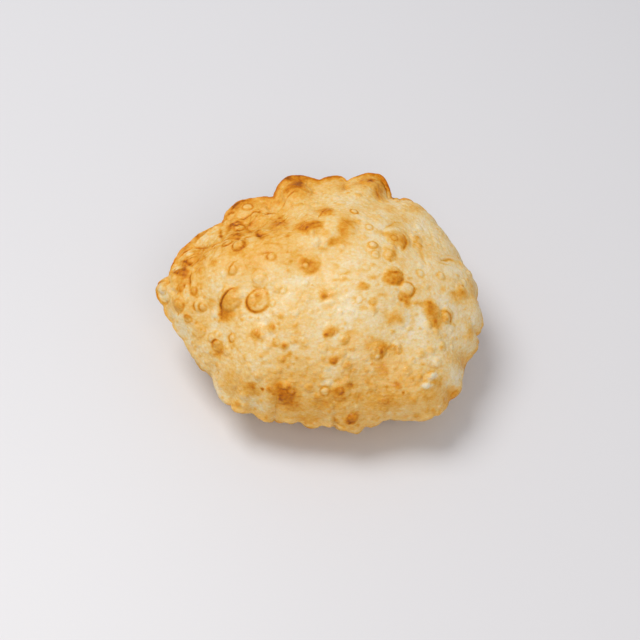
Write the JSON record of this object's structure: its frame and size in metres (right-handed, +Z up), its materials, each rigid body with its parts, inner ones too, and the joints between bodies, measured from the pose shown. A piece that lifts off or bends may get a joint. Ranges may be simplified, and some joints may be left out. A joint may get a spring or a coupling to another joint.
{
  "type": "bhatura",
  "caption": "Puffed deep-fried flatbread: a lopsided round pillow with a thin scalloped rim, raised at the back, and a blistered golden crust.",
  "frame": {"origin": "on the surface that the bread rests on, below the middle of its bounding box", "axes": "+Z up, +X along the bread's longer side seen from above, -Y towards the lower front rim"},
  "size_m": [0.177, 0.1494, 0.0793],
  "materials": {
    "fried_crust": "golden fried dough, blistered, with a slight gloss from the oil"
  },
  "bodies": {
    "root": {"bhatura": "fried_crust"}
  },
  "joints": []
}
